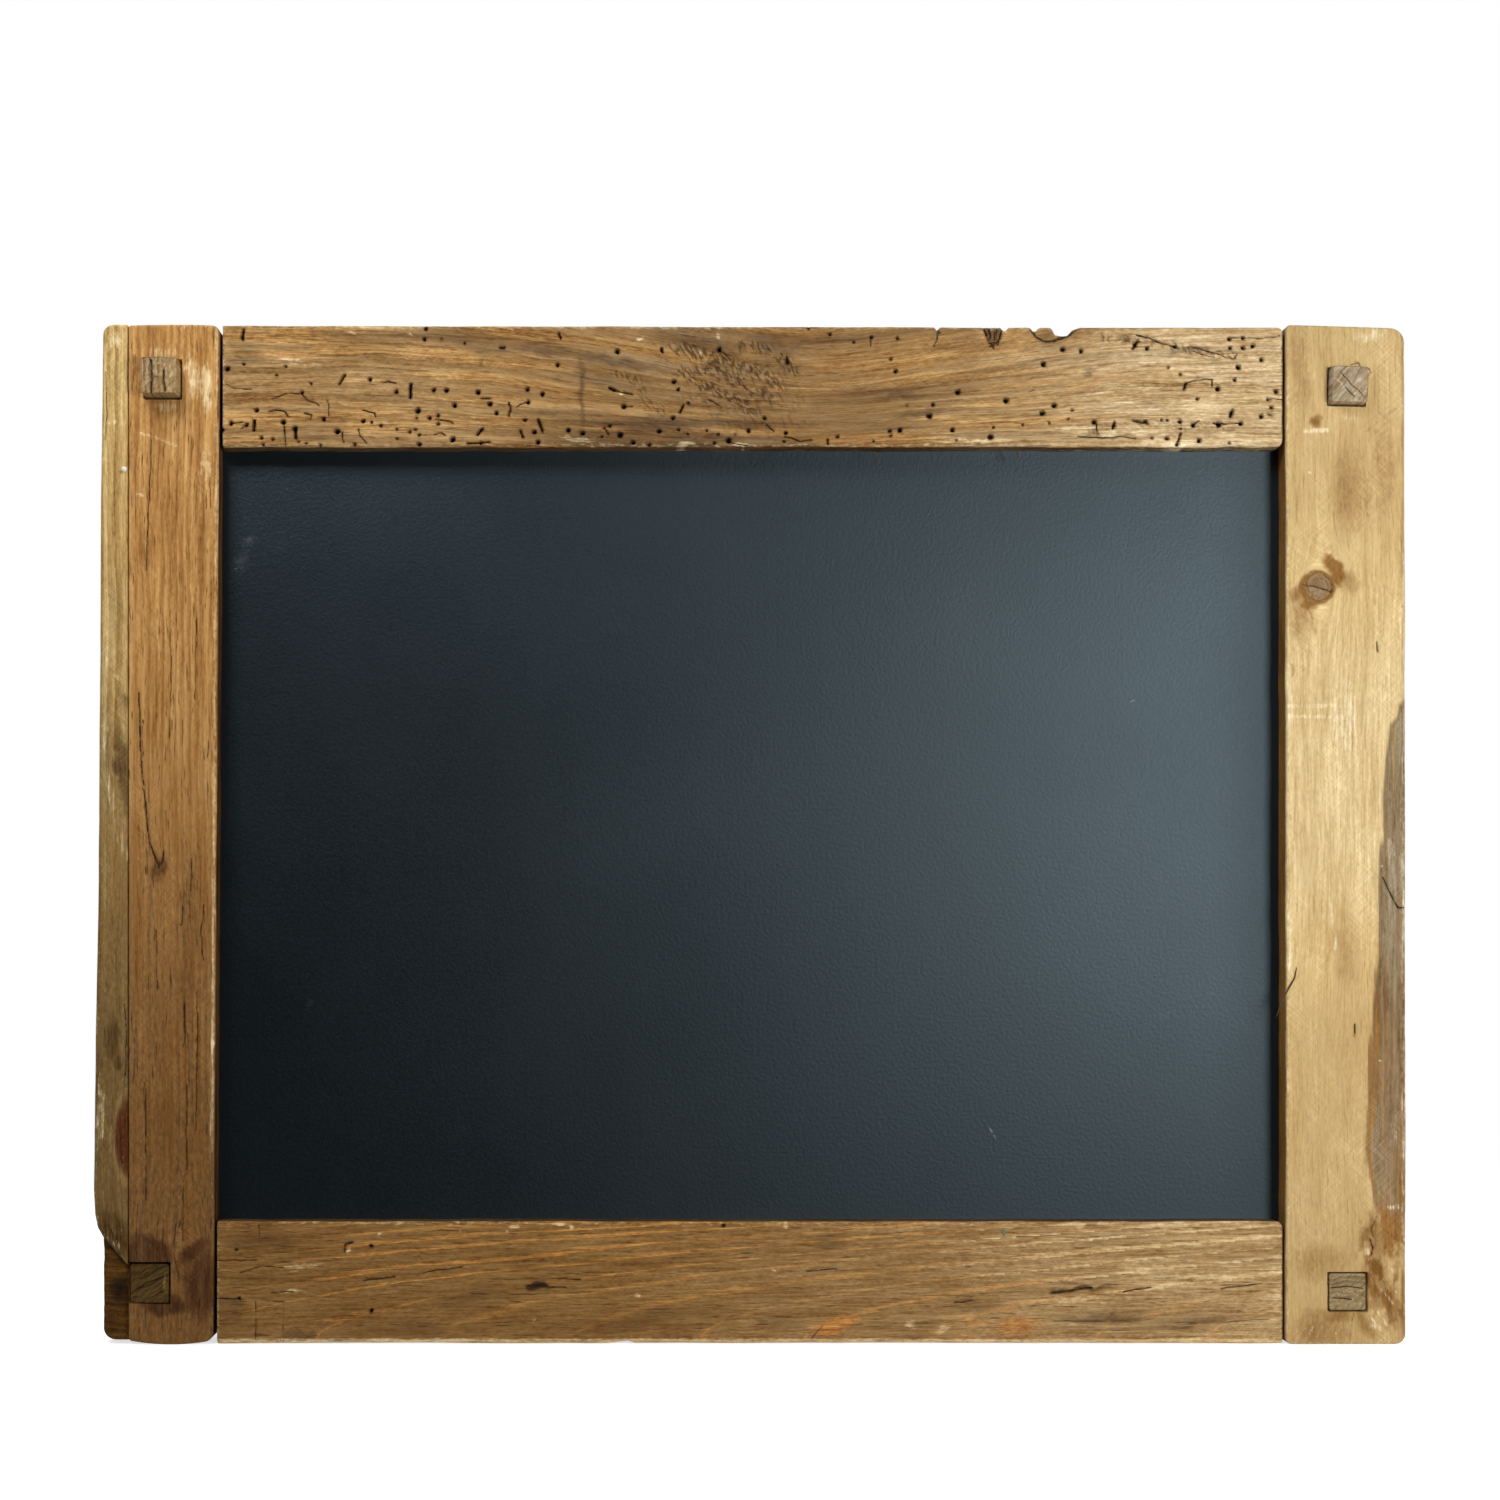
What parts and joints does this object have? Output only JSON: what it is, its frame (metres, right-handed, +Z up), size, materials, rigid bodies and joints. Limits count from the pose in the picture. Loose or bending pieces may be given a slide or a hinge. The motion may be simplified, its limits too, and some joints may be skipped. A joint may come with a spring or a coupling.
{
  "type": "framed writing board",
  "caption": "Wall blackboard with a black-painted panel in a pegged frame of worn, worm-eaten reclaimed wood, hung by D-rings.",
  "frame": {"origin": "on the underside of the bottom rail, midway along it and halfway through the thickness of the stiles", "axes": "+X to the writer's right, +Y away from the writer towards the wall, +Z up"},
  "size_m": [0.64, 0.045, 0.497],
  "materials": {
    "left_stile_wood": "waxed reddish brown reclaimed softwood, worn arrises",
    "edge_strip_wood": "waxed greenish tan sapwood edge",
    "right_stile_wood": "waxed golden softwood with a knot",
    "top_rail_wood": "waxed brown softwood, worm-eaten",
    "bottom_rail_wood": "waxed dark brown softwood with strong latewood lines",
    "peg_wood": "weathered end grain",
    "blackboard_paint": "matt blackboard paint on thin board, fine roller stipple",
    "bead_wood": "plain sawn softwood bead",
    "pin_steel": "dull bright-drawn wire",
    "zinc_steel": "zinc-plated steel"
  },
  "bodies": {
    "board": {"left_stile_board": "left_stile_wood", "left_stile_edge_strip": "edge_strip_wood", "left_stile_foot_block": "edge_strip_wood", "right_stile": "right_stile_wood", "top_rail": "top_rail_wood", "bottom_rail": "bottom_rail_wood", "top_left_peg": "peg_wood", "top_right_peg": "peg_wood", "bottom_left_peg": "peg_wood", "bottom_right_peg": "peg_wood", "writing_panel": "blackboard_paint", "top_bead": "bead_wood", "bottom_bead": "bead_wood", "left_bead": "bead_wood", "right_bead": "bead_wood", "bead_pins": "pin_steel", "left_hanger_strap": "zinc_steel", "right_hanger_strap": "zinc_steel", "hanger_screws": "zinc_steel"},
    "left_ring": {"left_hanger_ring": "zinc_steel"},
    "right_ring": {"right_hanger_ring": "zinc_steel"}
  },
  "joints": [
    {"name": "left_ring_swing", "type": "hinge", "parent": "board", "child": "left_ring", "pos_m": [-0.287, 0.01775, 0.425], "axis": [1, 0, 0], "range_deg": [0, 180]},
    {"name": "right_ring_swing", "type": "hinge", "parent": "board", "child": "right_ring", "pos_m": [0.287, 0.01775, 0.425], "axis": [1, 0, 0], "range_deg": [0, 180]}
  ]
}
